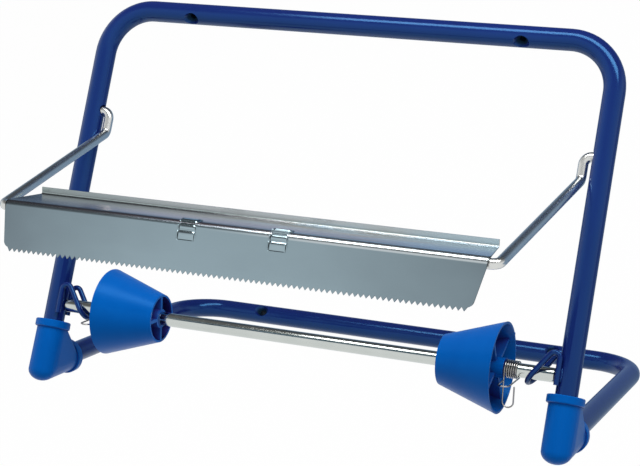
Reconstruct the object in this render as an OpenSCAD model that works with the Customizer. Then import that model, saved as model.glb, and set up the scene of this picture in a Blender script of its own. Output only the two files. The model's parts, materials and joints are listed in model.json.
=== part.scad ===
// Wall-mounted roll dispenser: two bent tubes, corner feet, a lift-out axle with core cones,
// and a swinging wire bail that carries a saw-toothed tear blade.
// Millimetres. X runs along the bars, Y into the wall, Z up.
// The wall face is the plane Y = 0, and the top bar's axis lies at Z = 0.

/* [Frame tubes] */
// Outside diameter of both bent tubes
tube_d = 22; // [19:0.5:25]
// Wall thickness of both bent tubes
tube_wall = 1.5; // [1:0.1:2.5]
// Distance between the axes of the two legs
leg_pitch = 562; // [540:1:620]
// Height of the top bar above the rear bar
wall_pitch = 427; // [400:1:460]
// Distance of the foot point in front of the two bars
foot_reach = 300; // [280:1:320]
// Height of the foot point above the rear bar
foot_rise = 170; // [155:1:185]
// Centre line radius of the tube bends
bend_r = 50; // [40:1:60]

/* [Screw holes] */
// Distance between the two screw holes of a bar
hole_pitch = 365; // [320:1:400]
// Diameter of a screw hole
screw_d = 6.5; // [5:0.1:8]
// Diameter of the pressed dish around a screw hole
dish_d = 17; // [14:0.5:18]
// Depth of the pressed dish
dish_depth = 7; // [4:0.5:9]
// Upward turn of the rear bar's holes from the wall's normal, in degrees
rear_hole_tilt = 67; // [0:1:80]

/* [Corner feet] */
// Outside diameter of a foot's sockets
socket_d = 32; // [30:0.5:36]
// Radius of the toe, the round outer corner of a foot, seen from the side
corner_round = 11.5; // [8:0.5:13]
// Width of the toe across the foot
toe_w = 30; // [22:0.5:30]
// Distance from the foot point to a socket's mouth
socket_len = 47.5; // [44:0.5:52]
// Diameter of the collar at a socket's mouth
collar_d = 37; // [37:0.5:42]
// Height of the collar
collar_h = 8; // [5:0.5:12]
// Radial gap between a tube and its socket
socket_fit = 0.15; // [0.1:0.05:0.3]

/* [Axle and hooks] */
// Diameter of the axle
axle_d = 14; // [12:0.5:16]
// Gap between the axle's end and the leg
axle_end_gap = 2; // [1:0.5:4]
// Distance of the axle from the foot point, along the leg
axle_up = 66; // [62:1:75]
// Diameter of the hook wire
hook_d = 5.5; // [4:0.5:6]
// Side gap between the axle and a hook's two strands
hook_gap = 0.75; // [0.5:0.05:1.2]
// Gap under the axle where it rests in a hook
hook_rest = 0.3; // [0.2:0.05:0.5]
// Gap between a hook's strands and the leg, filled by the weld
weld_gap = 0.1; // [0.05:0.05:0.2]
// Reach of a hook's sling from the leg's axis
hook_reach = 39; // [36:0.5:44]
// Slope of the sling below the leg's normal, in degrees
hook_slope = 55; // [50:1:65]
// Centre line radius of the arch over the top of a hook
arch_r = 5.5; // [5:0.5:7]
// Length of a hook's welded strand below the axle
weld_drop = 10; // [6:0.5:14]

/* [Core cones] */
// Diameter of a cone's large rim
cone_big_d = 90; // [76:1:100]
// Diameter of a cone's small end
cone_small_d = 50; // [40:1:56]
// Length of a cone
cone_len = 60; // [50:1:70]
// Wall of a cone
cone_wall = 2.2; // [1.6:0.1:3]
// Distance of the large rims inside the legs' axes
cone_in = 66; // [64:1:120]
// Outside diameter of a cone's hub
hub_d = 20; // [18:0.5:24]
// Length of the hub beyond the large rim
hub_out = 3; // [1:0.5:4]
// Thickness of the four ribs
rib_t = 3.4; // [2:0.1:4.5]
// Distance of the ribs inside the large rim
rib_set = 5; // [3:1:20]
// Radial clearance of a cone on the axle
cone_fit = 0.08; // [0.02:0.01:0.1]
// Size of the moulding nib on the large rim
nib = 2.4; // [1.5:0.1:3]

/* [Spring clips] */
// Diameter of the clip wire
clip_d = 1.5; // [1.2:0.1:1.7]
// Pitch of the coil
clip_pitch = 2.2; // [2.1:0.1:2.6]
// Whole turns of the coil
clip_turns = 5; // [3:1:6]
// Gap between the coil and the axle
clip_gap = 0.3; // [0.2:0.05:0.5]
// Gap between the coil and the hub
clip_play = 0.5; // [0.3:0.1:1]
// Reach of the finger loops from the axle's centre
loop_len = 36; // [30:1:40]
// Width of the finger loops
loop_w = 11; // [8:0.5:12]

/* [Tear bail] */
// Diameter of the bail wire
bail_d = 10; // [7:0.5:10.5]
// Distance of the pivots from the foot point, along the leg
pivot_up = 280; // [265:1:295]
// Diameter of the pivot holes in the legs
pivot_hole_d = 12; // [11:0.5:14]
// Gap under the wire where it rests in a pivot hole
pivot_rest = 0.2; // [0.1:0.05:0.4]
// Depth of the wire's ends past the leg's axis
pivot_in = 3; // [1:0.5:5]
// Gap between a crank and the leg
crank_gap = 3; // [2:0.5:5]
// Length of a crank
crank_len = 24; // [20:1:28]
// Length of an arm
arm_len = 225; // [215:1:235]
// Rise of the arms toward the front, in degrees
arm_rise = 17.4; // [10:0.1:24]
// Centre line radius of the bends at a crank
crank_r = 8; // [6:0.5:9]
// Centre line radius of the bends at the blade
corner_r = 7; // [6:0.5:8]

/* [Tear blade] */
// Thickness of the sheet
sheet = 1.2; // [0.8:0.1:1.5]
// Width of the blade at the fold
blade_w = 485; // [470:1:495]
// Gap between the fold and the wire
fold_gap = 0.25; // [0.15:0.05:0.4]
// Turn of the sheet at the fold, in degrees
fold_turn = 70; // [60:1:80]
// Fall of the top plate toward the wall, in degrees
blade_fall = 29.5; // [22:0.5:36]
// Height of the front plate with its teeth
front_h = 44.5; // [42:0.5:56]
// Taper of the front plate at each end
front_taper = 8; // [4:0.5:12]
// Radius of the front plate's lower corners
front_r = 7; // [4:0.5:12]
// Pitch of the teeth
tooth_pitch = 5.3; // [4:0.1:8]
// Height of the teeth
tooth_h = 3.6; // [2:0.1:5]
// Depth of the top plate
top_depth = 49.5; // [44:0.5:62]
// Taper of the top plate at each end
top_taper = 7.5; // [4:0.5:16]
// Height of the upturned flange
flange_h = 6.5; // [5:0.5:12]
// Inside radius of the flange bend
flange_r = 1.6; // [1:0.1:2.5]

/* [Blade clips] */
// Width of a strap
strap_w = 19; // [14:0.5:24]
// Thickness of a strap
strap_t = 1.2; // [0.8:0.1:1.5]
// Distance between the two straps
strap_pitch = 92; // [60:1:140]
// Gap between a strap and the blade
strap_gap = 0.12; // [0.08:0.02:0.2]
// Gap between a strap and the wire
strap_play = 0.3; // [0.2:0.05:0.5]
// Length of the lip on the front plate
lip_len = 15; // [10:0.5:20]
// Radius of the bead across a strap
bead_r = 0.9; // [0.5:0.1:1.2]

/* [Hidden] */
$fn = 64;
tube_r = tube_d / 2;
axle_r = axle_d / 2;
hook_r = hook_d / 2;
bail_r = bail_d / 2;
leg_x = leg_pitch / 2;

// Straight runs reach into a bend by lap, and a bend is slimmer by seam all round
lap = 0.15;
seam = 0.03;

// Directions of the legs and the lower side tubes in the Y-Z plane
leg_turn = atan2(wall_pitch - foot_rise, foot_reach);
low_turn = -atan2(foot_rise, foot_reach);
mitre_turn = (leg_turn + low_turn) / 2;
leg_v = [0, cos(leg_turn), sin(leg_turn)];
low_v = [0, cos(low_turn), sin(low_turn)];

// Main points of the frame on the middle plane
top_p = [0, -tube_r, 0];
rear_p = [0, -tube_r, -wall_pitch];
foot_p = [0, -tube_r - foot_reach, foot_rise - wall_pitch];
half_turn = (leg_turn - low_turn) / 2;
tube_in = tube_r / tan(half_turn) + 2.5;
web_s = socket_len - collar_h + 1;
round_y = -(socket_d / 2 - corner_round) / sin(half_turn);

// Axle, hooks and cones
axle_p = foot_p + leg_v * axle_up;
axle_x = leg_x - tube_r - axle_end_gap;
hook_q = axle_r + hook_gap + hook_r;
weld_x = sqrt(pow(tube_r + hook_r + weld_gap, 2) - hook_q * hook_q);
sling_s = axle_up - axle_r - hook_r - hook_rest;
peak_s = sling_s + (hook_reach - weld_x) * tan(hook_slope);
cone_x = leg_x - cone_in;
cone_slope = (cone_big_d - cone_small_d) / 2 / cone_len;
nib_turn = 35;

// Spring clip coil
curl_rings = 12;
wire_sides = 6;
clip_r = (axle_r + clip_gap + clip_d / 2) / cos(180 / curl_rings);
clip_x = cone_x + hub_out + clip_play + clip_d / 2;
coil_turn = clip_turns * 360 + 270;
coil_x = clip_pitch * coil_turn / 360;
loop_turn = low_turn - 90;
return_s = 15;

// Bail
pivot_p = foot_p + leg_v * pivot_up;
hole_p = pivot_p + leg_v * ((pivot_hole_d - bail_d) / 2 - pivot_rest);
crank_x = leg_x - tube_r - crank_gap - bail_r;
crank_p = pivot_p - leg_v * crank_len;
fold_p = crank_p + [0, -arm_len * cos(arm_rise), arm_len * sin(arm_rise)];
arm_x = blade_w / 2 + corner_r;

// Blade and straps
fold_r = bail_r + fold_gap;
skin_r = fold_r + sheet;
rear_w = blade_w - 2 * top_taper;
bend_y = top_depth - flange_r - sheet;
low_w = blade_w - 2 * front_taper;
strap_r = skin_r + strap_gap;
strap_bend = 0.8;
strap_y = bail_r + strap_play - strap_bend;

frame_blue = [0.10, 0.16, 0.42];
foot_blue = [0.05, 0.36, 0.74];
zinc = [0.66, 0.69, 0.70];
bright = [0.78, 0.80, 0.80];

function unit(v) = v / norm(v);
function axle_span(x) = axle_p + [x, 0, 0];

// Angles for rotate() that carry the X axis to x and the Z axis to z
function turn_to(x, z) =
    let (y = cross(z, x))
    [atan2(y[2], z[2]), asin(-x[2]), atan2(x[1], x[0])];

// Angles for rotate() that carry the Z axis to d
function aim(d) = [0, acos(d[2]), atan2(d[1], d[0])];

// Tangent length of a bend of radius r between three points
function tangent(a, b, c, r) = r * tan(acos(unit(b - a) * unit(c - b)) / 2);

// Straight round rod from a to b
module rod(a, b, d) {
    translate(a)
        rotate(aim(unit(b - a)))
            cylinder(d = d, h = norm(b - a));
}

// Bend at corner b between the runs from a and to c
module elbow(a, b, c, r, d) {
    run = unit(b - a);
    out = unit(c - b);
    inside = unit(out - run * (run * out));
    start = b - run * tangent(a, b, c, r);
    translate(start + inside * r)
        rotate(turn_to(-inside, cross(-inside, run)))
            rotate_extrude(angle = acos(run * out))
                translate([r, 0])
                    circle(d = d - 2 * seam);
}

// Round rod through the points p, bent at each inner point with the radii r
module bent_rod(p, r, d) {
    last = len(p) - 1;
    cut = [for (i = [0 : last])
        (i == 0 || i == last) ? 0 : tangent(p[i - 1], p[i], p[i + 1], r[i - 1]) - lap];
    for (i = [0 : last - 1]) {
        run = unit(p[i + 1] - p[i]);
        rod(p[i] + run * cut[i], p[i + 1] - run * cut[i + 1], d);
    }
    for (i = [1 : last - 1])
        elbow(p[i - 1], p[i], p[i + 1], r[i - 1], d);
}

// U of hollow tube from the feet along v to the bar at p
module u_tube(p, v) {
    start = foot_p + v * tube_in;
    difference() {
        bent_rod(u_points(start, p), [bend_r, bend_r], tube_d);
        bent_rod(u_points(start - v, p), [bend_r, bend_r], tube_d - 2 * tube_wall);
    }
}

function side(p, x) = [x, p[1], p[2]];
function u_points(a, b) = [side(a, -leg_x), side(b, -leg_x), side(b, leg_x), side(a, leg_x)];

// Pressed-in metal behind the dish of a screw hole
module dish_plug(p, tilt) {
    for (x = [-hole_pitch / 2, hole_pitch / 2])
        intersection() {
            rod(p + [x - dish_d, 0, 0], p + [x + dish_d, 0, 0], tube_d - tube_wall);
            translate(p + [x, 0, 0])
                rotate([90 - tilt, 0, 0])
                    cylinder(d = dish_d + 2 * tube_wall, h = tube_d, center = true);
        }
}

// Dish and through hole of the screw holes
module dish_cut(p, tilt) {
    for (x = [-hole_pitch / 2, hole_pitch / 2])
        translate(p + [x, 0, 0])
            rotate([90 - tilt, 0, 0]) {
                translate([0, 0, tube_r - dish_depth])
                    cylinder(d1 = screw_d, d2 = dish_d, h = dish_depth);
                cylinder(d = screw_d, h = 2 * tube_d, center = true);
            }
}

module upper_frame_tube() {
    color(frame_blue)
        difference() {
            union() {
                u_tube(top_p, leg_v);
                dish_plug(top_p, 0);
            }
            dish_cut(top_p, 0);
            for (s = [-1, 1])
                rod(side(hole_p, s * (leg_x - tube_d)), side(hole_p, s * leg_x), pivot_hole_d);
        }
}

module lower_frame_tube() {
    color(frame_blue)
        difference() {
            union() {
                u_tube(rear_p, low_v);
                dish_plug(rear_p, rear_hole_tilt);
            }
            dish_cut(rear_p, rear_hole_tilt);
        }
}

// One socket of a foot along the direction at angle turn
module socket(turn, d, h) {
    rotate([turn - 90, 0, 0])
        cylinder(d = d, h = h);
}

// Collar ring with broken edges at a socket's mouth
module collar(turn) {
    edge = 0.8;
    r = collar_d / 2;
    h = collar_h;
    rotate([turn - 90, 0, 0])
        translate([0, 0, socket_len - h])
            rotate_extrude()
                polygon([[0, 0], [r - edge, 0], [r, edge], [r, h - edge], [r - edge, h], [0, h]]);
}

// Wedge of a foot: both sockets, the web between them and the round toe in one skin
module wedge() {
    $fn = 40;
    hull() {
        for (turn = [leg_turn, low_turn])
            socket(turn, socket_d, web_s);
        rotate([mitre_turn, 0, 0])
            translate([0, round_y, 0])
                scale([toe_w / 2 / corner_round, 1, 1])
                    sphere(r = corner_round);
    }
}

module corner_foot(s) {
    color(foot_blue)
        translate(side(foot_p, s * leg_x))
            difference() {
                union() {
                    wedge();
                    collar(leg_turn);
                    collar(low_turn);
                }
                for (turn = [leg_turn, low_turn])
                    rotate([turn - 90, 0, 0])
                        translate([0, 0, tube_in - 2 * socket_fit])
                            cylinder(d = tube_d + 2 * socket_fit, h = socket_len);
            }
}

module left_corner_foot() {
    corner_foot(-1);
}

module right_corner_foot() {
    corner_foot(1);
}

// Bent wire sling: welded strand, arch, sling, arch, welded strand
module axle_hook(s) {
    color(frame_blue)
        translate(side(foot_p, s * leg_x))
            rotate([leg_turn - 90, 0, 0])
                bent_rod([
                    [-s * weld_x, -hook_q, axle_up - weld_drop],
                    [-s * weld_x, -hook_q, peak_s],
                    [-s * hook_reach, -hook_q, sling_s],
                    [-s * hook_reach, hook_q, sling_s],
                    [-s * weld_x, hook_q, peak_s],
                    [-s * weld_x, hook_q, axle_up - weld_drop]
                ], [arch_r, hook_q, hook_q, arch_r], hook_d);
}

module left_axle_hook() {
    axle_hook(-1);
}

module right_axle_hook() {
    axle_hook(1);
}

module axle_rod() {
    edge = 1;
    color(bright) {
        rod(axle_span(edge - axle_x), axle_span(axle_x - edge), axle_d);
        for (s = [-1, 1])
            translate(axle_span(s * (axle_x - edge)))
                rotate([0, s * 90, 0])
                    cylinder(r1 = axle_r, r2 = axle_r - edge, h = edge);
    }
}

// Cone body of the radius inset by w, over its whole length and past both ends
module cone_body(w, past) {
    translate([0, 0, -past])
        cylinder(r1 = cone_small_d / 2 - w - past * cone_slope,
                 r2 = cone_big_d / 2 - w + past * cone_slope, h = cone_len + 2 * past);
}

module core_cone(s, turn) {
    color(foot_blue)
        translate(axle_span(s * (cone_x - cone_len)))
            rotate([0, s * 90, 0])
                rotate([0, 0, s * turn])
                    difference() {
                        union() {
                            difference() {
                                cone_body(0, 0);
                                cone_body(cone_wall, 1);
                            }
                            intersection() {
                                cone_body(cone_wall / 2, 0);
                                for (a = [0, 90])
                                    rotate([0, 0, a])
                                        translate([-cone_big_d, -rib_t / 2, 0])
                                            cube([2 * cone_big_d, rib_t, cone_len - rib_set]);
                            }
                            cylinder(d = hub_d, h = cone_len + hub_out);
                            rotate([0, 0, s * (nib_turn + low_turn - turn)])
                                translate([-nib / 2, cone_big_d / 2 - cone_wall, cone_len - nib])
                                    cube([nib, cone_wall + nib / 2, nib]);
                        }
                        translate([0, 0, -1])
                            cylinder(r = axle_r + cone_fit, h = cone_len + hub_out + 2);
                    }
}

module left_core_cone() {
    core_cone(-1, low_turn);
}

module right_core_cone() {
    core_cone(1, 0);
}

// Point on the clip's centre line: x outward, then radius and angle about the axle
function polar(x, r, a) = [x, r * cos(a), r * sin(a)];
// Finger loop from the coil outward: foot point f, direction a, x step toward the loop's return
function loop_points(f, a, dx) =
    let (d = [0, cos(a), sin(a)], w = loop_w / 2, far = loop_len - w)
    concat(
        [f + d * 6, f + d * 18],
        [for (k = [0 : 6]) f + d * (far + w * sin(k * 30)) + [dx * w * (1 - cos(k * 30)), 0, 0]],
        [f + d * return_s + [dx * loop_w, 0, 0]]);
function flipped(p) = [for (i = [len(p) - 1 : -1 : 0]) p[i]];
// Centre line of a whole clip from one loop's free end to the other's
function clip_line() =
    let (first = loop_turn - 90, last = first - coil_turn, rings = coil_turn / 360 * curl_rings)
    concat(
        flipped(loop_points(polar(0, clip_r, first), loop_turn, 1)),
        [for (i = [0 : rings]) polar(coil_x * i / rings, clip_r, first - coil_turn * i / rings)],
        loop_points(polar(coil_x, clip_r, last), last - 90, -1));
function heading(p, i) = unit(p[min(i + 1, len(p) - 1)] - p[max(i - 1, 0)]);
function square_to(n, t) = unit(n - t * (n * t));

// Wire swept along the points p
module swept_wire(p, d) {
    n = len(p);
    m = wire_sides;
    norms = [for (i = 0, v = square_to([0.3, 0.5, 0.8], heading(p, 0)); i < n;
                  i = i + 1, v = i < n ? square_to(v, heading(p, i)) : v) v];
    skin = [for (i = [0 : n - 1]) for (k = [0 : m - 1])
        p[i] + (norms[i] * cos(360 * k / m) + cross(heading(p, i), norms[i]) * sin(360 * k / m)) * d / 2];
    wall = [for (i = [0 : n - 2]) for (k = [0 : m - 1]) for (half = [0, 1])
        let (a = i * m + k, b = i * m + (k + 1) % m)
        half == 0 ? [a, a + m, b] : [b, a + m, b + m]];
    ends = [for (k = [1 : m - 2]) for (e = [0, 1])
        e == 0 ? [0, k, k + 1] : [n * m - m, n * m - m + k + 1, n * m - m + k]];
    polyhedron(points = skin, faces = concat(wall, ends), convexity = 10);
}

// Least gap of a clip's wire to itself, between rings more than half a curl apart
clip_path = clip_line();
clip_rows = [for (i = [0 : len(clip_path) - 1]) for (j = [i + curl_rings / 2 : 1 : len(clip_path) - 1])
    norm(clip_path[i] - clip_path[j])];
echo(least_clip_gap = min(clip_rows) - clip_d);

module spring_clip(s) {
    color(zinc)
        translate(axle_p)
            swept_wire(s > 0 ? [for (q = clip_path) [clip_x + q[0], q[1], q[2]]]
                             : [for (q = flipped(clip_path)) [-clip_x - q[0], q[1], q[2]]], clip_d);
}

module left_spring_clip() {
    spring_clip(-1);
}

module right_spring_clip() {
    spring_clip(1);
}

module tear_bail_wire() {
    color(zinc)
        bent_rod([
            side(pivot_p, -leg_x - pivot_in),
            side(pivot_p, -crank_x),
            side(crank_p, -crank_x),
            side(fold_p, -arm_x),
            side(fold_p, arm_x),
            side(crank_p, crank_x),
            side(pivot_p, crank_x),
            side(pivot_p, leg_x + pivot_in)
        ], [crank_r, crank_r, corner_r, corner_r, crank_r, crank_r], bail_d);
}

// Carries shapes drawn about the fold's wire, with Y along the top plate, to their place
module at_fold() {
    translate(fold_p)
        rotate([-blade_fall, 0, 0])
            children();
}

// Curved strip of sheet about the X axis, w wide, from angle a over turn, toward the wall from straight up
module curl(r, w, a, turn) {
    rotate([0, -90, 0])
        rotate([0, 0, a])
            rotate_extrude(angle = turn)
                translate([r + seam, -w / 2])
                    square([sheet - 2 * seam, w]);
}

// Outline of the front plate: straight top, tapered ends, round corners and a row of teeth
function front_outline() =
    let (root = front_h - tooth_h,
         lean = atan2(front_taper, root),
         mid = low_w / 2 - front_r / tan((90 + lean) / 2),
         n = floor((2 * mid + 0.9 * front_r) / tooth_pitch),
         row = n * tooth_pitch / 2,
         stop = acos((row - mid) / front_r),
         arc = [for (k = [0 : 10])
             let (a = lean + (stop - lean) * k / 10)
             [mid + front_r * cos(a), root - front_r + front_r * sin(a)]])
    concat(
        [[-blade_w / 2, -lap], [blade_w / 2, -lap]],
        arc,
        [for (i = [n : -1 : 1]) for (k = [0, 1])
            if (i < n || k == 1) [(i - k / 2) * tooth_pitch - row, k == 0 ? root : front_h]],
        [for (q = flipped(arc)) [-q[0], q[1]]]);

module front_plate() {
    rotate([180 + fold_turn, 0, 0])
        translate([0, 0, -skin_r])
            linear_extrude(sheet)
                polygon(front_outline());
}

module top_plate() {
    translate([0, 0, fold_r])
        linear_extrude(sheet)
            polygon([[-blade_w / 2, -lap], [blade_w / 2, -lap],
                     [rear_w / 2, bend_y + lap], [-rear_w / 2, bend_y + lap]]);
}

module tear_blade() {
    color(zinc)
        at_fold()
            difference() {
                union() {
                    front_plate();
                    curl(fold_r, blade_w, -fold_turn, fold_turn);
                    top_plate();
                    translate([0, bend_y, skin_r + flange_r])
                        curl(flange_r, rear_w, 90, 90);
                    translate([-rear_w / 2, bend_y + flange_r, skin_r + flange_r - lap])
                        cube([rear_w, sheet, flange_h - flange_r + lap]);
                }
                for (x = [-strap_pitch / 2, strap_pitch / 2])
                    translate([x - strap_w / 2 - 0.5, strap_y + strap_bend - 0.3, 0])
                        cube([strap_w + 1, strap_t + 0.6, 2 * skin_r]);
            }
}

// Ring sector of the strap's thickness, from angle a over turn
module strap_arc(r, a, turn) {
    far = 4 * (r + strap_t);
    intersection() {
        difference() {
            circle(r = r + strap_t - seam);
            circle(r = r + seam);
        }
        polygon([[0, 0], far * [cos(a), sin(a)], far * [cos(a + turn / 2), sin(a + turn / 2)],
                 far * [cos(a + turn), sin(a + turn)]]);
    }
}

// Strap seen along the wire: lip, bow over the fold, tail through the slot and under the wire
module strap_outline() {
    strap_arc(strap_r, 90, fold_turn);
    rotate([0, 0, 90 + fold_turn]) {
        translate([strap_r, -lap])
            square([strap_t, lip_len + lap]);
        translate([strap_r + strap_t, lip_len / 3])
            circle(r = bead_r);
    }
    translate([-lap, strap_r])
        square([strap_y + 2 * lap, strap_t]);
    translate([strap_y, strap_r - strap_bend])
        strap_arc(strap_bend, 0, 90);
    translate([strap_y + strap_bend, -strap_y - lap])
        square([strap_t, strap_y + strap_r - strap_bend + 2 * lap]);
    translate([strap_y, -strap_y])
        strap_arc(strap_bend, -90, 90);
    translate([-bail_r / 2, -strap_y - strap_bend - strap_t])
        square([strap_y + bail_r / 2 + lap, strap_t]);
}

module blade_clip(s) {
    color(bright)
        at_fold()
            translate([s * strap_pitch / 2 - strap_w / 2, 0, 0])
                rotate([90, 0, 90])
                    linear_extrude(strap_w)
                        strap_outline();
}

module left_blade_clip() {
    blade_clip(-1);
}

module right_blade_clip() {
    blade_clip(1);
}

upper_frame_tube();
lower_frame_tube();
left_corner_foot();
right_corner_foot();
left_axle_hook();
right_axle_hook();
axle_rod();
left_core_cone();
right_core_cone();
left_spring_clip();
right_spring_clip();
tear_bail_wire();
tear_blade();
left_blade_clip();
right_blade_clip();
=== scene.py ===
import json

import bpy
import numpy as np
from mathutils import Matrix, Vector

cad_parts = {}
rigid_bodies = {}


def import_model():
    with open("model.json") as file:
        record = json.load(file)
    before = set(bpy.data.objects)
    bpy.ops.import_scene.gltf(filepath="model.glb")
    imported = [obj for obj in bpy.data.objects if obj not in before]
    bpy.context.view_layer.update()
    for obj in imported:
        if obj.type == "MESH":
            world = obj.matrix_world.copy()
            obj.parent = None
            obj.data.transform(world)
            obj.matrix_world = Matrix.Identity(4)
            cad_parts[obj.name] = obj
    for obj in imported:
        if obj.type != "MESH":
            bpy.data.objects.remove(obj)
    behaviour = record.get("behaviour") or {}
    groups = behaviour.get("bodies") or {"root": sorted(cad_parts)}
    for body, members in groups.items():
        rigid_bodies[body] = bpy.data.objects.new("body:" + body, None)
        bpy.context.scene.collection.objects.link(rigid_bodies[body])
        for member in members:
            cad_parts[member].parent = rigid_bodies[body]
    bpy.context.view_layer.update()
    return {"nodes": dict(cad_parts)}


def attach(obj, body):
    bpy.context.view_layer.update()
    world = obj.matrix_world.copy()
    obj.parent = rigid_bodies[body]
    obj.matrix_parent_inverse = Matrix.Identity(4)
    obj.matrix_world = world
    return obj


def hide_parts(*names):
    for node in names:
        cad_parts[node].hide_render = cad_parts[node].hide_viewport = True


for leftover in list(bpy.data.objects):
    bpy.data.objects.remove(leftover)

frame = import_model()
nodes = frame["nodes"]
print("frame loaded with", len(nodes), "nodes")

# directions of the stand that the camera saw: along the bars, away from it, and up from its lower tube
stand = {"right": np.array([1.0, 0.0, 0.0]), "away": np.array([0.0, 0.870022, -0.493013]),
         "up": np.array([0.0, 0.493013, 0.870022]), "foot": np.array([0.0, -0.311, -0.257])}


def standVector(right, away, up):
    return right * stand["right"] + away * stand["away"] + up * stand["up"]


def setUp(thing, axes, spot):
    # three axes and a spot become the matrix of a camera or lamp
    bpy.context.scene.collection.objects.link(thing)
    placed = Matrix(np.array(axes).T.tolist()).to_4x4()
    placed.translation = Vector(spot)
    thing.matrix_world = placed


# angles in degrees, focus and centre in pixels of the picture, place in the stand's directions
eye = {"turn": 22.504, "drop": 11.468, "roll": 2.527, "focus": 1716.546, "centre": (314.167, 268.533),
       "place": (0.656522, -1.526739, 0.475823), "picture": (640, 466), "sensor": 36, "sees": (0.05, 60)}


def makeCamera():
    turn, drop, roll = np.radians([eye["turn"], eye["drop"], eye["roll"]])
    ahead = np.array([-np.sin(turn) * np.cos(drop), np.cos(turn) * np.cos(drop), -np.sin(drop)])
    level = np.array([np.cos(turn), np.sin(turn), 0.0])
    rise = np.cross(level, ahead)
    side = np.cos(roll) * level + np.sin(roll) * rise
    top = -np.sin(roll) * level + np.cos(roll) * rise
    wide, high = eye["picture"]
    data = bpy.data.cameras.new("photoCamera")
    data.sensor_width = eye["sensor"]
    data.lens = eye["sensor"] * eye["focus"] / wide
    data.shift_x = (wide / 2 - eye["centre"][0]) / wide
    data.shift_y = (eye["centre"][1] - high / 2) / wide
    data.clip_start, data.clip_end = eye["sees"]
    camera = bpy.data.objects.new("photoCamera", data)
    spot = stand["foot"] + standVector(*eye["place"])
    setUp(camera, [standVector(*v) for v in (side, top, -ahead)], spot)
    bpy.context.scene.camera = camera
    print("camera placed at", spot.round(3).tolist())


makeCamera()

even = (1, 1, 1)


# shader maths
class Wire:
    # a socket that takes part in sums; each sum adds a Math node
    def __init__(self, bench, socket):
        self.bench, self.socket = bench, socket

    def calc(self, operation, first, second, clamp=False):
        settings = {"operation": operation, "use_clamp": clamp}
        return self.bench.make("ShaderNodeMath", settings, {0: first, 1: second})

    def __add__(self, other):
        return self.calc("ADD", self, other)

    def __sub__(self, other):
        return self.calc("SUBTRACT", self, other)

    def __rsub__(self, other):
        return self.calc("SUBTRACT", other, self)

    def __mul__(self, other):
        return self.calc("MULTIPLY", self, other)

    __radd__, __rmul__ = __add__, __mul__

    def kept(self):
        # held between 0 and 1
        return self.calc("ADD", self, 0.0, True)

    def least(self, other):
        return self.calc("MINIMUM", self, other)


class Bench:
    # the node tree of one finish
    def __init__(self, name, tree=None):
        if tree is None:
            self.finish = bpy.data.materials.new(name)
            self.finish.use_nodes = True
            tree = self.finish.node_tree
        self.tree = tree
        self.shader = tree.nodes.get("Principled BSDF")

    def put(self, socket, value):
        if isinstance(value, Wire):
            self.tree.links.new(value.socket, socket)
        else:
            socket.default_value = value

    def make(self, kind, settings=None, inputs=None, out=0):
        node = self.tree.nodes.new(kind)
        for key, value in (settings or {}).items():
            if key == "stops":
                ramp = node.color_ramp.elements
                while len(ramp) < len(value):
                    ramp.new(0.5)
                for stop, (place, colour) in zip(ramp, value):
                    stop.position, stop.color = place, (*colour, 1)
            else:
                setattr(node, key, value)
        for key, value in (inputs or {}).items():
            self.put(node.inputs[key], value)
        return Wire(self, node.outputs[out])

    def spot(self):
        return self.make("ShaderNodeTexCoord", out="Object")

    def facing(self):
        return self.make("ShaderNodeTexCoord", out="Normal")

    def place(self, scale=even, shift=(0, 0, 0)):
        return self.make("ShaderNodeMapping", {}, {"Vector": self.spot(), "Scale": scale, "Location": shift})

    def noise(self, stretch, scale, detail=3.0, rough=0.5):
        sockets = {"Vector": self.place(stretch), "Scale": scale, "Detail": detail, "Roughness": rough}
        return self.make("ShaderNodeTexNoise", {}, sockets)

    def blend(self, share, first, second):
        # 6, 7 and 2 are the Mix node's colour sockets
        return self.make("ShaderNodeMix", {"data_type": "RGBA"}, {0: share, 6: first, 7: second}, out=2)

    def length(self, spot):
        return self.make("ShaderNodeVectorMath", {"operation": "LENGTH"}, {0: spot}, out="Value")

    def along(self, spot, way):
        return self.make("ShaderNodeVectorMath", {"operation": "DOT_PRODUCT"}, {0: spot, 1: way}, out="Value")

    def eased(self, value, low, high):
        return self.make("ShaderNodeMapRange", {"interpolation_type": "SMOOTHSTEP"}, {0: value, 1: low, 2: high})

    def openness(self, reach):
        # 1 where nothing is near, falling to 0 in corners closed within this reach
        return self.make("ShaderNodeAmbientOcclusion", {"samples": 8}, {"Distance": reach}, out="AO")

    def bump(self, height, strength, distance):
        return self.make("ShaderNodeBump", {}, {"Height": height, "Strength": strength, "Distance": distance})

    def set(self, **values):
        for key, value in values.items():
            self.put(self.shader.inputs[key.replace("_", " ")], value)
        return self.finish


# finishes; a pattern is given as stretch, scale, detail and roughness of its noise, whose middle is 0.5
# the darkest paint colour is a painted shade for the inside of the screw holes
paint = {"deep": (0.0045, 0.011, 0.098, 1), "light": (0.0065, 0.018, 0.138, 1), "holeShade": (0.0015, 0.003, 0.008, 1),
         "gleam": (0.14, 0.52, 1.0, 1), "shine": 0.75, "coat": 0.02, "coatRough": 0.05,
         "rough": 0.15, "dusty": 0.10, "cloudy": 0.05, "holeRough": 0.45,
         "peel": (even, 620, 2.0), "cloud": (even, 9, 2.0), "dust": (even, 2600, 2.0), "relief": (0.10, 0.0005),
         "bars": [(0, 0.011, 0), (0, 0.011, 0.427)], "hole": (0.0062, 0.0098), "straight": (0.195, 0.205)}


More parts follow.
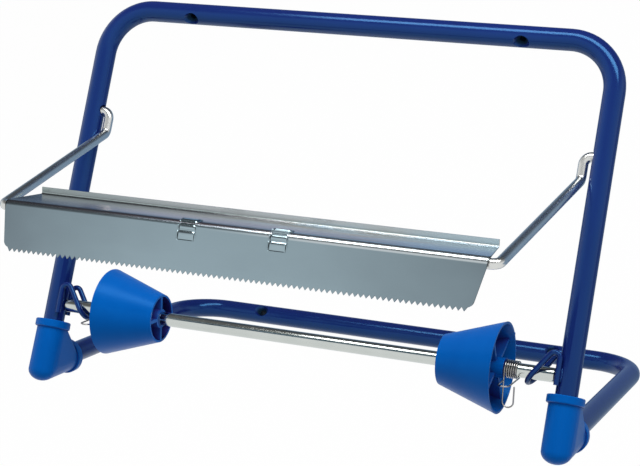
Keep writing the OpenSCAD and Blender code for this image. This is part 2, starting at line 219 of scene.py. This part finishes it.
def framePaint():
    # stove enamel with orange peel, soft clouds and dust; inside the screw holes, near the axes of the two bars'
    # straight parts, a painted shade makes it dark, and it is dull there
    bench = Bench("framePaint")
    peel, cloud, dust = [bench.noise(*paint[key]) for key in ("peel", "cloud", "dust")]
    deep = [bench.length(bench.place((0, 1, 1), bar)) for bar in paint["bars"]]
    bends = bench.eased(bench.length(bench.place((1, 0, 0))), *paint["straight"])
    skin = (bench.eased(deep[0].least(deep[1]), *paint["hole"]) + bends).kept()
    tint = bench.blend(cloud, paint["deep"], paint["light"])
    rough = paint["rough"] + paint["dusty"] * (dust - 0.5) + paint["cloudy"] * cloud
    bench.set(Coat_Roughness=paint["coatRough"], Specular_IOR_Level=paint["shine"], Specular_Tint=paint["gleam"])
    # inside the screw holes the enamel's colour gives way to a painted shade
    return bench.set(Base_Color=bench.blend(skin, paint["holeShade"], tint),
                     Roughness=rough + paint["holeRough"] * (1 - skin),
                     Coat_Weight=paint["coat"] * (cloud + 0.5) * skin,
                     Normal=bench.bump(peel, *paint["relief"]))


plastic = {"deep": (0.0003, 0.085, 0.385, 1), "light": (0.0005, 0.108, 0.455, 1), "rub": (0.006, 0.140, 0.480, 1),
           "pocketShade": (0.024, 0.020, 0.190, 1), "gleam": (0.10, 0.50, 1.0, 1), "shine": 0.26,
           "rough": 0.30, "grainy": 0.14, "cloudy": 0.06, "pocketRough": 0.5,
           "grain": (even, 1900, 3.0, 0.6), "cloud": 14, "scuff": ((1, 1, 6), 60, 4.0, 0.7), "relief": (0.08, 0.0003),
           "scuffFrom": 0.62, "scuffed": 1.2, "pocket": 0.03, "open": (0.25, 0.85)}


def mouldedBlue(name, flow):
    # fine eroded grain, flow clouds along the mould, faint rubbed streaks, and a painted violet shade in deep pockets
    bench = Bench(name)
    grain, scuff = bench.noise(*plastic["grain"]), bench.noise(*plastic["scuff"])
    cloud = bench.noise(flow, plastic["cloud"])
    tint = bench.blend(cloud, plastic["deep"], plastic["light"])
    rubbedAndSheen = bench.blend(((scuff - plastic["scuffFrom"]) * plastic["scuffed"]).kept(), tint, plastic["rub"])
    # a painted violet shade falls in deep pockets, found by ambient occlusion
    lit = bench.eased(bench.openness(plastic["pocket"]), *plastic["open"])
    rough = plastic["rough"] + plastic["grainy"] * (grain - 0.5) + plastic["cloudy"] * cloud
    bench.set(Specular_IOR_Level=plastic["shine"], Specular_Tint=plastic["gleam"])
    return bench.set(Base_Color=bench.blend(lit, plastic["pocketShade"], rubbedAndSheen),
                     Roughness=rough + plastic["pocketRough"] * (1 - lit),
                     Normal=bench.bump(grain, *plastic["relief"]))


# what ends in Along runs from -1 at the blade's left end to 1 at its right; other places are in metres
# the plain colour and the darker one after it are lit and shaded copies of the plate, for a painted light
sheet = {"plain": (0.325, 0.430, 0.482, 1), "worn": (0.190, 0.245, 0.280, 1), "cut": (0.030, 0.034, 0.036, 1),
         "dull": (0.160, 0.150, 0.180, 1), "warm": (0.90, 0.66, 0.69, 1), "rim": (0.60, 0.69, 0.67, 1),
         "bright": (0.66, 0.73, 0.76, 1),
         "film": [(0.30, (0.215, 0.185, 0.250)), (0.42, (0.490, 0.355, 0.400)), (0.50, (0.560, 0.425, 0.390)),
                  (0.58, (0.530, 0.600, 0.740)), (0.70, (0.580, 0.780, 0.980))],
         "rolled": ((2.5, 240, 240), 3.2, 5.0, 0.65), "cloud": ((1, 1.6, 1.6), 11, 3.0),
         "spangle": (even, 210, 2.0), "oil": ((3.2, 16, 16), 2.1, 3.0, 0.55),
         "half": 0.2425, "endBand": (0.2411, 0.2417), "axis": (0, 0.33128, 0.02317), "fold": (0.00646, 0.0068),
         "seam": 0.004, "warmFrom": (0.002, 0.007), "warmTo": (0.010, 0.040), "flange": (0.040, 0.044),
         "topSide": (0.0, 0.492, 0.870), "back": (0.0, 0.870, -0.492),
         "topFrom": 0.55, "topGain": 3.2, "topFilm": 0.85, "rimLight": 0.7, "endBandShade": 0.8,
         "cutFace": (0.5, 0.8), "seamOpen": (0.35, 0.95), "drift": 0.17,
         "litMiddle": 1.02, "litMiddleAlong": 0.06, "litMiddleFall": 0.85, "litMiddleCloud": 0.7,
         "dullAlong": (-1.1, 0.7), "warmAlong": (-0.95, -0.25), "coolAlong": (0.1, 0.9), "cool": 0.8,
         "brightAlong": (-0.20, 0.50), "rough": 0.22, "uneven": 0.08, "relief": (0.02, 0.0003)}


def platedSheet():
    # zinc plate with rolling lines; a painted light makes it brighter in the middle and darker toward its ends, with
    # random clouds; a painted shade darkens cut edges, end bands and seams, and painted highlights lie pale along
    # the flange and bright along the fold; the top plate keeps the film of its bath, dull at the left, mauve near the
    # fold and bluer toward the right
    bench = Bench("platedSheet")
    rolled, cloud, spangle, oil = [bench.noise(*sheet[key]) for key in ("rolled", "cloud", "spangle", "oil")]
    across = bench.along(bench.spot(), (1 / sheet["half"], 0, 0))
    fromFold = bench.place((0, 1, 1), sheet["axis"])
    backward = bench.along(fromFold, sheet["back"])
    facing = bench.facing()
    endways = bench.along(facing, (1, 0, 0))

    # painted light: brighter in the middle, falling off toward the ends to the shaded, darker colour, with random
    # clouds
    off = across - sheet["litMiddleAlong"]
    litMiddle = (sheet["litMiddle"] - sheet["litMiddleFall"] * off * off + sheet["litMiddleCloud"] * (cloud - 0.5)).kept()
    front = bench.blend(litMiddle, sheet["worn"], sheet["plain"])

    oiled = bench.make("ShaderNodeValToRGB", {"stops": sheet["film"]}, {"Fac": oil + sheet["drift"] * across})
    dulled = bench.blend(bench.eased(across, *sheet["dullAlong"]), sheet["dull"], oiled)
    middle = bench.eased(across, *sheet["warmAlong"]) * (1 - sheet["cool"] * bench.eased(across, *sheet["coolAlong"]))
    nearFold = bench.eased(backward, *sheet["warmFrom"]) * (1 - bench.eased(backward, *sheet["warmTo"]))
    warmed = bench.blend(middle * nearFold, dulled, sheet["warm"])

    onTop = ((bench.along(facing, sheet["topSide"]) - sheet["topFrom"]) * sheet["topGain"]).kept()
    plated = bench.blend(onTop * sheet["topFilm"], front, warmed)
    # painted highlight: pale along the flange, away from the top plate
    onRim = bench.eased(backward, *sheet["flange"]) * (1 - onTop)
    flangeLit = bench.blend(onRim * sheet["rimLight"], plated, sheet["rim"])
    # painted highlight: bright along the fold, growing toward the right
    onFold = 1 - bench.eased(bench.length(fromFold), *sheet["fold"])
    rubbedAndSheen = bench.blend(onFold * bench.eased(across, *sheet["brightAlong"]), flangeLit, sheet["bright"])
    # painted shade: dark in the seams, found by ambient occlusion, and on the end faces and end bands of the sheet
    opened = bench.eased(bench.openness(sheet["seam"]), *sheet["seamOpen"])
    seamShaded = bench.blend(opened, sheet["cut"], rubbedAndSheen)
    endBand = bench.eased(bench.length(bench.place((1, 0, 0))), *sheet["endBand"])
    endShade = (bench.eased(endways * endways, *sheet["cutFace"]) + sheet["endBandShade"] * endBand).kept()
    return bench.set(Base_Color=bench.blend(endShade, seamShaded, sheet["cut"]), Metallic=1.0,
                     Roughness=sheet["rough"] + sheet["uneven"] * (rolled + cloud - 1),
                     Normal=bench.bump(spangle, *sheet["relief"]))


# drawn wire, rod and strip; a shade darkens the faces that turn left or down the blade
metal = {"lines": (900, 3.0, 0.6), "tarnish": 38, "lined": 0.12, "tarnished": 0.08, "relief": (0.06, 0.0003),
         "left": (-1, 0, 0), "leftTurn": (0.15, 0.55), "down": (0, -0.76, -0.65), "downTurn": (0.25, 0.65)}
drawn = {"bailZinc": {"dark": (0.58, 0.59, 0.58, 1), "light": (0.74, 0.75, 0.73, 1), "rough": 0.27, "along": even},
         "axleZinc": {"dark": (0.50, 0.54, 0.52, 1), "light": (0.62, 0.65, 0.63, 1), "rough": 0.12,
                      "along": (0.02, 1, 1)},
         "clipSteel": {"dark": (0.30, 0.29, 0.28, 1), "light": (0.44, 0.43, 0.42, 1), "rough": 0.17, "along": even},
         "strapSteel": {"dark": (0.26, 0.345, 0.385, 1), "light": (0.36, 0.46, 0.505, 1), "rough": 0.13,
                        "along": (0.05, 1, 1), "shade": (0.020, 0.032, 0.038, 1)}}


def drawnMetal(name, dark, light, rough, along, shade=None):
    # fine lines along its length and soft clouds of tarnish
    bench = Bench(name)
    lines = bench.noise(along, *metal["lines"])
    cloud = bench.noise(even, metal["tarnish"])
    tint = bench.blend(cloud, dark, light)
    if shade:
        facing = bench.facing()
        flank = [bench.eased(bench.along(facing, metal[way]), *metal[way + "Turn"]) for way in ("left", "down")]
        tint = bench.blend((flank[0] + flank[1]).kept(), tint, shade)
    return bench.set(Base_Color=tint, Metallic=1.0,
                     Roughness=rough + metal["lined"] * (lines - 0.5) + metal["tarnished"] * (cloud - 0.5),
                     Normal=bench.bump(lines, *metal["relief"]))


paintFinish = framePaint()
footFinish = mouldedBlue("footPlastic", even)
coneFinish = mouldedBlue("conePlastic", (3, 1, 1))
sheetFinish = platedSheet()
bailFinish, axleFinish, clipFinish, strapFinish = [drawnMetal(name, **values) for name, values in drawn.items()]

worn = {"upper_frame_tube": paintFinish, "lower_frame_tube": paintFinish, "left_axle_hook": paintFinish,
        "right_axle_hook": paintFinish, "left_corner_foot": footFinish, "right_corner_foot": footFinish,
        "left_core_cone": coneFinish, "right_core_cone": coneFinish, "axle_rod": axleFinish,
        "left_spring_clip": clipFinish, "right_spring_clip": clipFinish, "tear_bail_wire": bailFinish,
        "tear_blade": sheetFinish, "left_blade_clip": strapFinish, "right_blade_clip": strapFinish}


def coat(thing, finish):
    thing.data.materials.clear()
    thing.data.materials.append(finish)


for name, finish in worn.items():
    coat(nodes[name], finish)
print("finishes on", len(worn), "nodes")


# new pieces
def gridMesh(name, points, tube=False):
    # points[u, v] on a grid become quads; a tube wraps round in v and is capped at both ends of u
    rows, cols = points.shape[:2]
    index = np.arange(rows * cols).reshape(rows, cols)
    wide = np.hstack([index, index[:, :1]]) if tube else index
    quads = np.stack([wide[:-1, :-1], wide[:-1, 1:], wide[1:, 1:], wide[1:, :-1]], -1).reshape(-1, 4)
    faces = quads.tolist()
    if tube:
        faces += [index[0, ::-1].tolist(), index[-1].tolist()]
    mesh = bpy.data.meshes.new(name)
    mesh.from_pydata(points.reshape(-1, 3).tolist(), [], faces)
    mesh.polygons.foreach_set("use_smooth", np.ones(len(faces), bool))
    mesh.update()
    piece = bpy.data.objects.new(name, mesh)
    bpy.context.scene.collection.objects.link(piece)
    return piece


def unit(v):
    return v / np.linalg.norm(v, axis=-1, keepdims=True)


def swell(x, middle, width):
    # a bell of height 1 round the middle
    return np.exp(-((x - middle) / width) ** 2)


def ramp(x, start, run):
    # 0 up to the start, then 1 after the run
    return np.clip((x - start) / run, 0, 1)


def sideWord(side):
    return "right" if side > 0 else "left"


axle = {"y": -0.2608773, "z": -0.2140615}
clip = {"start": 0.21925, "radius": 0.00824, "pitch": 0.0022, "turns": 5.75, "wire": 0.00075, "loopTurn": -119.539,
        "loop": 0.036, "width": 0.011, "lead": 0.0012, "back": 0.015, "around": 14,
        "coilSteps": 260, "outSteps": 26, "bowSteps": 33, "homeSteps": 16}


def springClip(side):
    # centre line: straight strand and half circle of the first loop, the coil, then the second loop; a circle is
    # carried along it
    first = np.radians(clip["loopTurn"] - 90)
    spin = np.radians(-360 * clip["turns"])
    half = clip["width"] / 2
    reach = clip["loop"] - half
    axleWay = np.array([1.0, 0.0, 0.0])

    def spoke(angle):
        return np.stack([np.zeros_like(angle), np.cos(angle), np.sin(angle)], -1)

    def fingerLoop(foot, out, along):
        strand = foot + np.linspace(clip["lead"], reach, clip["outSteps"])[:, None] * out
        bow = np.linspace(0, np.pi, clip["bowSteps"])[1:, None]
        tip = foot + (reach + half * np.sin(bow)) * out + half * (1 - np.cos(bow)) * along
        home = foot + np.linspace(reach, clip["back"], clip["homeSteps"])[1:, None] * out + 2 * half * along
        return np.vstack([strand, tip, home])

    turns = np.linspace(0, 1, clip["coilSteps"])[:, None]
    coil = clip["radius"] * spoke(first + spin * turns[:, 0]) + clip["pitch"] * clip["turns"] * turns * axleWay
    leadOut = spoke(np.array(first + np.pi / 2))
    tailOut = spoke(np.array(first + spin - np.pi / 2))
    lead = fingerLoop(coil[0], leadOut, axleWay)[::-1]
    tail = fingerLoop(coil[-1], tailOut, -axleWay)
    line = np.vstack([lead, coil, tail])
    ahead = unit(np.gradient(line, axis=0))
    across = np.cross(ahead, axleWay)
    across[:len(lead)] = np.cross(leadOut, -axleWay)
    across[-len(tail):] = np.cross(tailOut, axleWay)
    across = unit(across)
    other = np.cross(across, ahead)
    ring = np.linspace(0, 2 * np.pi, clip["around"], endpoint=False)[None, :, None]
    skin = line[:, None] + clip["wire"] * (np.cos(ring) * across[:, None] + np.sin(ring) * other[:, None])
    skin = (skin + np.array([clip["start"], 0, 0])) * np.array([side, 1, 1]) + np.array([0, axle["y"], axle["z"]])
    if side > 0:
        skin = skin[:, ::-1]                         # keeps the faces outward
    word = sideWord(side)
    piece = gridMesh(word + "SpringWire", skin, tube=True)
    coat(piece, clipFinish)
    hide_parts(word + "_spring_clip")
    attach(piece, word + "_clip")


for side in (-1, 1):
    springClip(side)
print("spring clips wound")

fold = {"y": -0.33128, "z": -0.02317, "fall": 29.5, "turn": 70}
# distances such as the hump's are from the end of the bow, down the lip
strap = {"place": 0.046, "width": 0.019, "thick": 0.0012, "bow": 0.00717, "drop": 0.0059, "corner": 0.0014,
         "tail": 0.0025, "lip": 0.015, "round": 0.0035, "bulge": 0.0014, "hump": (-0.0035, 0.0028),
         "foot": (0.0042, 0.0017), "footShare": 0.6, "flare": 0.0012, "flareRun": (0.006, 0.009),
         "ridge": 0.0006, "ridges": (-0.0105, -0.0008), "ridgeRun": 0.001, "ridgePitch": 0.0021,
         "bead": 0.0013, "beadShape": (0.0011, 0.0008), "pressedRun": (-0.012, 0.002),
         "rim": 0.0003, "rimCuts": 2, "rimAngle": 50,
         "tailSteps": 8, "cornerSteps": 8, "riseSteps": 12, "crownSteps": 9, "bowSteps": 34, "lipSteps": 60,
         "acrossSteps": 45}


def bladeStrap(side):
    # profile seen along the wire: under the wire, up through the slot, bowed over the fold, a groove, then the lip;
    # it is carried across the strap's width, which narrows to round off the lip's lower corners, and a bead is
    # pressed up along the edges; the right strap also has fine ridges across its bow
    def arc(y, z, radius, start, end, count):
        a = np.radians(np.linspace(start, end, count))
        return np.stack([y + radius * np.cos(a), z + radius * np.sin(a)], -1)

    corner, drop, high = strap["corner"], strap["drop"], strap["bow"]
    back = drop - corner
    down = np.radians(180 + fold["turn"])
    under = np.linspace((-strap["tail"], -drop), (back, -drop), strap["tailSteps"])
    lowCorner = arc(back, -back, corner, -90, 0, strap["cornerSteps"])
    rise = np.linspace((drop, -back), (drop, high - corner), strap["riseSteps"])
    highCorner = arc(back, high - corner, corner, 0, 90, strap["cornerSteps"])
    crown = np.linspace((back, high), (0, high), strap["crownSteps"])
    bow = arc(0, 0, high, 90, 90 + fold["turn"], strap["bowSteps"])
    tip = bow[-1] + strap["lip"] * np.array([np.cos(down), np.sin(down)])
    lip = np.linspace(bow[-1], tip, strap["lipSteps"])
    line = np.vstack([part[:-1] for part in (under, lowCorner, rise, highCorner, crown, bow)] + [lip])
    run = np.concatenate([[0], np.cumsum(np.linalg.norm(np.diff(line, axis=0), axis=1))])
    ahead = unit(np.gradient(line, axis=0))
    out = np.stack([-ahead[:, 1], ahead[:, 0]], -1)
    over = run - (run[-1] - strap["lip"])            # distance past the end of the bow
    edge = run[-1] - run                             # distance to the lip's end

    lift = strap["bulge"] * (swell(over, *strap["hump"]) + strap["footShare"] * swell(over, *strap["foot"]))
    lift = lift + strap["flare"] * ramp(over, *strap["flareRun"]) ** 2
    if side > 0:
        first, last = strap["ridges"]
        ridged = ramp(np.minimum(over - first, last - over), 0, strap["ridgeRun"])
        lift = lift + strap["ridge"] * ridged * np.cos(2 * np.pi * over / strap["ridgePitch"])
    near = 1 - ramp(edge, 0, strap["round"])
    half = strap["width"] / 2 - strap["round"] * (1 - np.sqrt(1 - near ** 2))
    share = np.sin(np.linspace(-np.pi / 2, np.pi / 2, strap["acrossSteps"]))
    inward = np.minimum(half[:, None] * (1 - np.abs(share)), edge[:, None])   # distance to the strap's edge
    bead = strap["bead"] * swell(inward, *strap["beadShape"])
    pressed = (lift[:, None] + bead) * ramp(over, *strap["pressedRun"])[:, None]
    raised = line[:, None] + pressed[..., None] * out[:, None]

    fall = np.radians(-fold["fall"])
    turn = np.array([[np.cos(fall), np.sin(fall)], [-np.sin(fall), np.cos(fall)]])
    skin = np.empty((len(line), len(share), 3))
    skin[..., 0] = side * strap["place"] + half[:, None] * share
    skin[..., 1:] = raised @ turn + [fold["y"], fold["z"]]
    word = sideWord(side)
    piece = gridMesh(word + "BladeStrap", skin)
    wall = piece.modifiers.new("wall", "SOLIDIFY")
    wall.thickness, wall.offset = strap["thick"], 0
    rim = piece.modifiers.new("rim", "BEVEL")
    rim.width, rim.segments = strap["rim"], strap["rimCuts"]
    rim.limit_method, rim.angle_limit = "ANGLE", np.radians(strap["rimAngle"])
    coat(piece, strapFinish)
    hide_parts(word + "_blade_clip")
    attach(piece, "bail")


weld = {"foot": (0.281, -0.311, -0.257), "lean": 40.586, "reach": 0.01105, "side": (0.00903, 0.0105), "from": 0.0585,
        "length": 0.015, "wide": 0.0033, "thick": 0.0014, "ripple": 0.09, "wander": 0.0004, "beads": 8, "blunt": 4,
        "tip": 0.001, "steps": 97, "around": 20}


def weldBead(side, strand):
    # an ellipse carried along the strand's contact line, drawn in at both ends, with ripples along it
    u = np.linspace(-1, 1, weld["steps"])[:, None]
    v = np.linspace(0, 2 * np.pi, weld["around"], endpoint=False)[None]
    ripple = 1 + weld["ripple"] * np.abs(np.sin(np.pi * weld["beads"] * (u + 1) / 2))
    taper = np.sqrt(1 - np.abs(u) ** weld["blunt"]) * ripple + weld["tip"]
    outward = unit(np.array([-side * weld["side"][0], strand * weld["side"][1]]))
    aside = np.array([-outward[1], outward[0]])
    off = weld["reach"] + weld["thick"] * taper * np.cos(v)
    over = weld["wide"] * taper * np.sin(v)
    wander = weld["wander"] * np.cos(v) * np.sin(np.pi * weld["beads"] * u)
    local = np.empty((weld["steps"], weld["around"], 3))
    local[..., :2] = off[..., None] * outward + over[..., None] * aside
    local[..., 2] = weld["from"] + weld["length"] * (u + 1) / 2 + wander
    lean = np.radians(weld["lean"])
    axes = np.array([[1, 0, 0], [0, np.sin(lean), -np.cos(lean)], [0, np.cos(lean), np.sin(lean)]])
    skin = local @ axes + np.array(weld["foot"]) * np.array([side, 1, 1])
    piece = gridMesh(sideWord(side) + "Weld" + ("Rear" if strand > 0 else "Front"), skin, tube=True)
    coat(piece, paintFinish)
    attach(piece, "frame")


for side in (-1, 1):
    bladeStrap(side)
    for strand in (-1, 1):
        weldBead(side, strand)
print("straps bent and welds laid")

# stage; in a gloss, the air darkens as the gaze turns up or away, and the ground over some metres behind
sky = {"fill": 0.3, "ceiling": 0.14, "ceilingRun": (0.30, 0.74), "far": (0.15, 0.23, 0.34, 1), "farRun": (0.20, 0.80),
       "ground": (0.23, 0.34, 0.48, 1), "groundRun": (-0.15, 0.60)}
room = {"floor": -1.0, "reach": 9.0, "white": (1, 1, 1, 1), "pale": (0.86, 0.86, 0.86, 1), "paleRough": 0.9,
        "glow": 0.98, "aim": (0.0, -0.19, -0.21)}


def rayKinds(bench):
    path = bench.tree.nodes.new("ShaderNodeLightPath")
    return [Wire(bench, path.outputs[key]) for key in ("Is Camera Ray", "Is Glossy Ray", "Is Transmission Ray")]


def makeFloor():
    edge = np.array([-1.0, 0.0, 1.0]) * room["reach"]
    x, y = np.meshgrid(edge, edge, indexing="ij")
    floor = gridMesh("studioFloor", np.stack([x, y, np.full_like(x, room["floor"])], -1)[:, ::-1])
    bench = Bench("paleFloor")
    # white for rays that see it straight, in a gloss or through something clear; in a gloss it darkens far behind
    seen, gloss, through = rayKinds(bench)
    behind = bench.eased(bench.along(bench.spot(), (0, 1, 0)), *sky["groundRun"])
    shade = bench.blend(gloss * behind, room["white"], sky["ground"])
    glow = bench.make("ShaderNodeEmission", {}, {"Color": shade, "Strength": 1.0})
    bench.set(Base_Color=room["pale"], Roughness=room["paleRough"])
    share = (seen + gloss + through).kept() * room["glow"]     # the rest takes the shadow
    mixed = bench.make("ShaderNodeMixShader", {}, {0: share, 1: Wire(bench, bench.shader.outputs[0]), 2: glow})
    bench.put(bench.tree.nodes["Material Output"].inputs["Surface"], mixed)
    coat(floor, bench.finish)


# toward is in the stand's directions; only the strip shows in a gloss
lamps = {"topStrip": {"toward": (0.30, -0.55, 1.5), "far": 1.6, "size": (2.0, 0.60), "power": 27,
                      "colour": (1, 1, 1), "mirrored": True},
         "keyBox": {"toward": (-0.9, -0.9, 1.0), "far": 1.9, "size": (1.3, 1.0), "power": 8,
                    "colour": (1, 0.99, 0.97), "mirrored": False},
         "frontFill": {"toward": (0.5, -1.6, 0.35), "far": 2.4, "size": (1.6, 1.2), "power": 9,
                       "colour": (1, 1, 1), "mirrored": False},
         "backBox": {"toward": (-0.2, 1.3, 0.9), "far": 2.1, "size": (1.6, 0.8), "power": 6,
                     "colour": (0.97, 0.98, 1), "mirrored": False}}


def makeLamps():
    for name, lamp in lamps.items():
        data = bpy.data.lights.new(name, "AREA")
        data.shape, data.energy, data.color = "RECTANGLE", lamp["power"], lamp["colour"]
        data.size, data.size_y = lamp["size"]
        box = bpy.data.objects.new(name, data)
        box.visible_glossy = lamp["mirrored"]
        way = unit(standVector(*lamp["toward"]))
        long = unit(stand["right"] - way[0] * way)   # long side along the bars
        setUp(box, [long, np.cross(way, long), way], np.array(room["aim"]) + way * lamp["far"])


def makeAir():
    world = bpy.data.worlds.new("studioAir")
    bpy.context.scene.world = world
    world.use_nodes = True
    bench = Bench("studioAir", world.node_tree)
    seen, gloss, through = rayKinds(bench)
    # white backdrop all round; in a gloss it darkens toward the ceiling and behind the object
    gaze = bench.spot()
    behind = bench.eased(bench.along(gaze, tuple(stand["away"])), *sky["farRun"])
    risen = bench.eased(bench.along(gaze, tuple(stand["up"])), *sky["ceilingRun"])
    mirrored = 1 - (1 - sky["ceiling"]) * risen
    straight = (seen + through).kept()
    backdrop = bench.tree.nodes["Background"]
    bench.put(backdrop.inputs["Color"], bench.blend(gloss * behind, room["white"], sky["far"]))
    bench.put(backdrop.inputs["Strength"],
              sky["fill"] + (1 - sky["fill"]) * straight + gloss * (mirrored - sky["fill"]))


makeFloor()
makeLamps()
makeAir()
bpy.context.scene.view_settings.view_transform = "Standard"
print("stage set with", len(lamps), "lamps")
